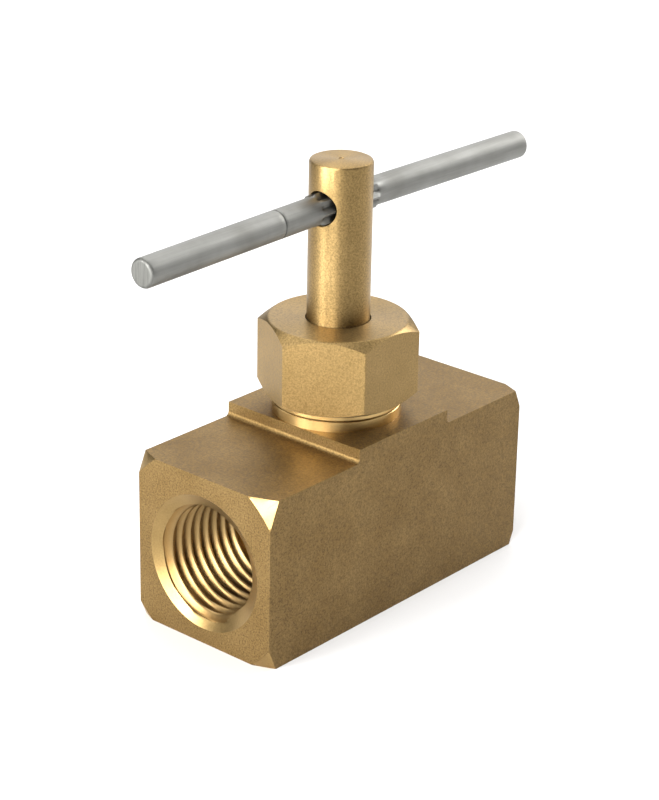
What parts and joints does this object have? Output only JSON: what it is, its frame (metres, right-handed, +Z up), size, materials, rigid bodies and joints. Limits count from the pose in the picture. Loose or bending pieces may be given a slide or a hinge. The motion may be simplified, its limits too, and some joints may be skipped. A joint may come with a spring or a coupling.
{
  "type": "needle valve",
  "caption": "Square-bodied brass needle valve with threaded end ports, a hex packing nut and a rising stem turned by a straight cross bar.",
  "frame": {"origin": "on the base, under the stem axis, in the middle of the body's length and width", "axes": "+X along the flow from the inlet port to the outlet port, and along the cross bar; +Z up the stem, towards the bar; +Y across the body"},
  "size_m": [0.0607, 0.019, 0.0496],
  "materials": {
    "body_brass": "tumbled brass bar, fine grainy satin",
    "turned_brass": "machined brass, semi-bright with fine turning marks",
    "bar_steel": "cold-drawn plated steel rod, satin",
    "packing_ptfe": "white fluoropolymer, matt",
    "o_ring_rubber": "black nitrile rubber, matt"
  },
  "bodies": {
    "valve": {"valve_body": "body_brass", "packing_nut": "turned_brass", "gland_follower": "turned_brass", "packing_ring_1": "packing_ptfe", "packing_ring_2": "packing_ptfe", "packing_washer": "turned_brass"},
    "lift": {"stem_o_ring": "o_ring_rubber"},
    "spindle": {"stem": "turned_brass", "tee_bar": "bar_steel"}
  },
  "joints": [
    {"name": "stem_travel", "type": "slide", "parent": "valve", "child": "lift", "axis": [0, 0, 1], "range_m": [0, 0.0025]},
    {"name": "stem_turn", "type": "hinge", "parent": "lift", "child": "spindle", "pos_m": [0, 0, 0.0448], "axis": [0, 0, 1], "range_deg": [0, 900]}
  ],
  "couplings": [
    {"joint": "stem_travel", "follows": "stem_turn", "m_per_rad": 0.00015915}
  ]
}
